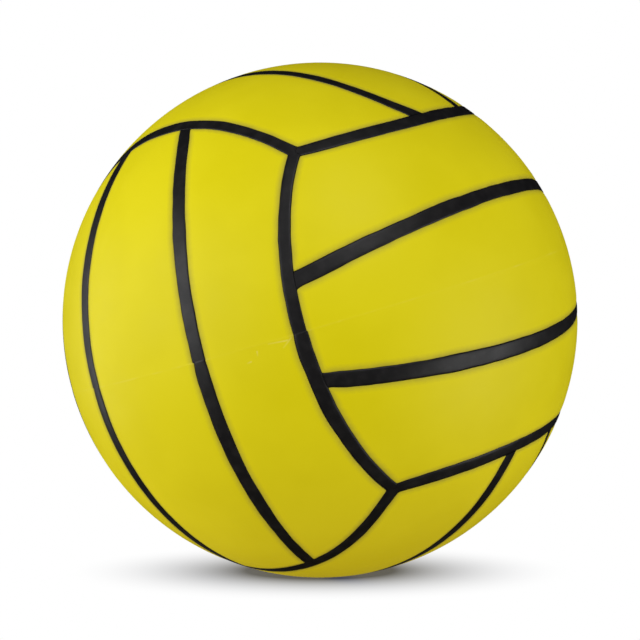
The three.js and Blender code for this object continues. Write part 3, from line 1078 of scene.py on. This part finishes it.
class VOLLEYBALL_OT_inner_layers(bpy.types.Operator):
    """Finish the carcass, the winding and the bladder inside the cover"""

    bl_idname = "volleyball.inner_layers"
    bl_label = "Inner layers"

    def execute(self, context):
        colours = context.scene.volleyball_finish
        finishes = {
            "carcass": rubber_finish("carcass_rubber", colours, roughness=0.75, lump=14 * MM),
            "winding": thread_finish(colours),
            "bladder": rubber_finish("bladder_rubber", colours, roughness=0.6, lump=25 * MM),
        }
        for node, material in finishes.items():
            frame["nodes"][node].data.materials.clear()
            frame["nodes"][node].data.materials.append(material)
        return {"FINISHED"}


# Studio

def white_backdrop(nodes, studio, kind):
    """A white shader, dimmer in gloss, and its share: 1 for what is seen and 0 for light on the ball"""
    path = nodes.add("ShaderNodeLightPath").outputs
    direct = nodes.maths("MAXIMUM", path["Is Camera Ray"], path["Is Transmission Ray"])
    seen = nodes.maths("MAXIMUM", direct, path["Is Glossy Ray"])
    white = nodes.add(kind, {"Color": (1, 1, 1, 1), "Strength": nodes.blend(direct, studio.gloss, 1)})
    return white.outputs[0], seen


def floor_finish(studio):
    """Floor that paints the ball's soft shadow as dark paper in an ellipse, over the shadow the ball casts there,
    and pure white away from it
    """
    finish = Finish("studio_floor")
    around = finish.add("ShaderNodeMapping", {
        "Vector": finish.place,
        "Location": (0, studio.shadow_reach / studio.shadow_depth, 0),
        "Scale": (1 / studio.shadow_width, 1 / studio.shadow_depth, 0),
    }).outputs[0]
    reach = finish.vector("LENGTH", "Value", around)
    # Inside the ellipse the dark paper shows, a painted shadow with the cast shadow on it; outside it, what is
    # seen turns white
    full = finish.ramp(reach, start=studio.shadow_core, stop=1, low=1, high=0, kind="LINEAR")
    shadow = finish.maths("POWER", full, studio.shadow_fade)
    away = finish.maths("SUBTRACT", 1, shadow)
    white, seen = white_backdrop(finish, studio, "ShaderNodeEmission")
    finish.set(Base_Color=(*studio.paper, 1), Roughness=0.9, Specular_IOR_Level=0)
    # The floor glows though it is no lamp: painted light sets the shadow's least brightness where it is seen, and
    # paints warm bounce light on the ball
    finish.set(Emission_Color=finish.mix(seen, studio.bounce, studio.shade), Emission_Strength=1)
    both = finish.add("ShaderNodeMixShader", {
        0: finish.maths("MULTIPLY", away, seen), 1: finish.shader.outputs[0], 2: white})
    finish.feed(finish.output.inputs["Surface"], both.outputs[0])
    return finish.material


def add_floor(studio):
    """The sheet of paper that the ball lies on"""
    bm = bmesh.new()
    bmesh.ops.create_grid(bm, x_segments=1, y_segments=1, size=studio.floor_size)
    bmesh.ops.translate(bm, vec=MOUNTS["cradle"], verts=bm.verts[:])
    mesh = bpy.data.meshes.new("studio_floor")
    bm.to_mesh(mesh)
    bm.free()
    mesh.materials.append(floor_finish(studio))
    floor = bpy.data.objects.new("studio_floor", mesh)
    bpy.context.scene.collection.objects.link(floor)


def add_world(studio):
    """Even light from all sides, and a white background"""
    world = bpy.data.worlds.new("studio")
    bpy.context.scene.world = world
    world.use_nodes = True
    world.node_tree.nodes.clear()
    nodes = Nodes(world.node_tree)
    white, seen = white_backdrop(nodes, studio, "ShaderNodeBackground")
    even = nodes.add("ShaderNodeBackground", {
        "Color": (*studio.ambient_tint, 1), "Strength": studio.ambient})
    both = nodes.add("ShaderNodeMixShader", {0: seen, 1: even.outputs[0], 2: white})
    nodes.add("ShaderNodeOutputWorld", {"Surface": both.outputs[0]})


def aimed(name, data, location):
    """Links a camera or a light that looks at the ball"""
    thing = bpy.data.objects.new(name, data)
    bpy.context.scene.collection.objects.link(thing)
    look = (-location).to_track_quat("-Z", "Y").to_matrix().to_4x4()
    thing.matrix_world = Matrix.Translation(location) @ look
    return thing


def add_softbox(studio, side):
    """A large soft light, whose settings start with the name of its side"""
    settings = ("light", "turn", "rise", "width", "height")
    radiance, turn, rise, width, height = (getattr(studio, f"{side}_{name}") for name in settings)
    light = bpy.data.lights.new(f"{side}_softbox", "AREA")
    light.shape = "RECTANGLE"
    light.size = width
    light.size_y = height
    light.energy = radiance * math.pi * width * height
    out = Vector((math.sin(turn), -math.cos(turn), math.tan(rise))).normalized()
    aimed(light.name, light, out * studio.light_distance)


def add_camera(studio):
    """The photograph's camera, level with the ball's upper half"""
    camera = bpy.data.cameras.new("camera")
    camera.sensor_width = SENSOR_WIDTH
    camera.lens = studio.lens
    back = Vector((0, -math.cos(studio.elevation), math.sin(studio.elevation)))
    bpy.context.scene.camera = aimed("camera", camera, back * studio.distance)


class VOLLEYBALL_OT_studio(bpy.types.Operator):
    """Set up the floor, the light and the camera"""

    bl_idname = "volleyball.studio"
    bl_label = "Studio"

    def execute(self, context):
        studio = context.scene.volleyball_studio
        add_camera(studio)
        add_floor(studio)
        add_world(studio)
        for side in ("left", "rim", "right", "top", "back"):
            add_softbox(studio, side)
        context.scene.view_settings.view_transform = "Standard"
        return {"FINISHED"}


class VOLLEYBALL_PT_pieces(bpy.types.Panel):
    """Lists the pieces and their sizes"""

    bl_idname = "VOLLEYBALL_PT_pieces"
    bl_label = "Volleyball"
    bl_space_type = "VIEW_3D"
    bl_region_type = "UI"
    bl_category = "Volleyball"

    def draw(self, context):
        layout = self.layout
        for operator in OPERATORS:
            layout.operator(operator.bl_idname)
        for name, group in GROUPS.items():
            box = layout.box()
            box.label(text=group.__doc__)
            settings = getattr(context.scene, name)
            for key in group.__annotations__:
                box.prop(settings, key)


GROUPS = {
    "volleyball_cover": VolleyballCover,
    "volleyball_valve": VolleyballValve,
    "volleyball_finish": VolleyballFinish,
    "volleyball_studio": VolleyballStudio,
}
OPERATORS = (
    VOLLEYBALL_OT_cover_panels,
    VOLLEYBALL_OT_channel_strips,
    VOLLEYBALL_OT_valve_seat,
    VOLLEYBALL_OT_valve_core,
    VOLLEYBALL_OT_inner_layers,
    VOLLEYBALL_OT_studio,
)


def register():
    for group in (*GROUPS.values(), *OPERATORS, VOLLEYBALL_PT_pieces):
        bpy.utils.register_class(group)
    for name, group in GROUPS.items():
        setattr(bpy.types.Scene, name, PointerProperty(type=group))


def unregister():
    for name in GROUPS:
        delattr(bpy.types.Scene, name)
    for group in (VOLLEYBALL_PT_pieces, *reversed(OPERATORS), *GROUPS.values()):
        bpy.utils.unregister_class(group)


def main():
    register()
    bpy.ops.volleyball.cover_panels()
    bpy.ops.volleyball.channel_strips()
    bpy.ops.volleyball.valve_seat()
    bpy.ops.volleyball.valve_core()
    bpy.ops.volleyball.inner_layers()
    bpy.ops.volleyball.studio()


if __name__ == "__main__":
    main()
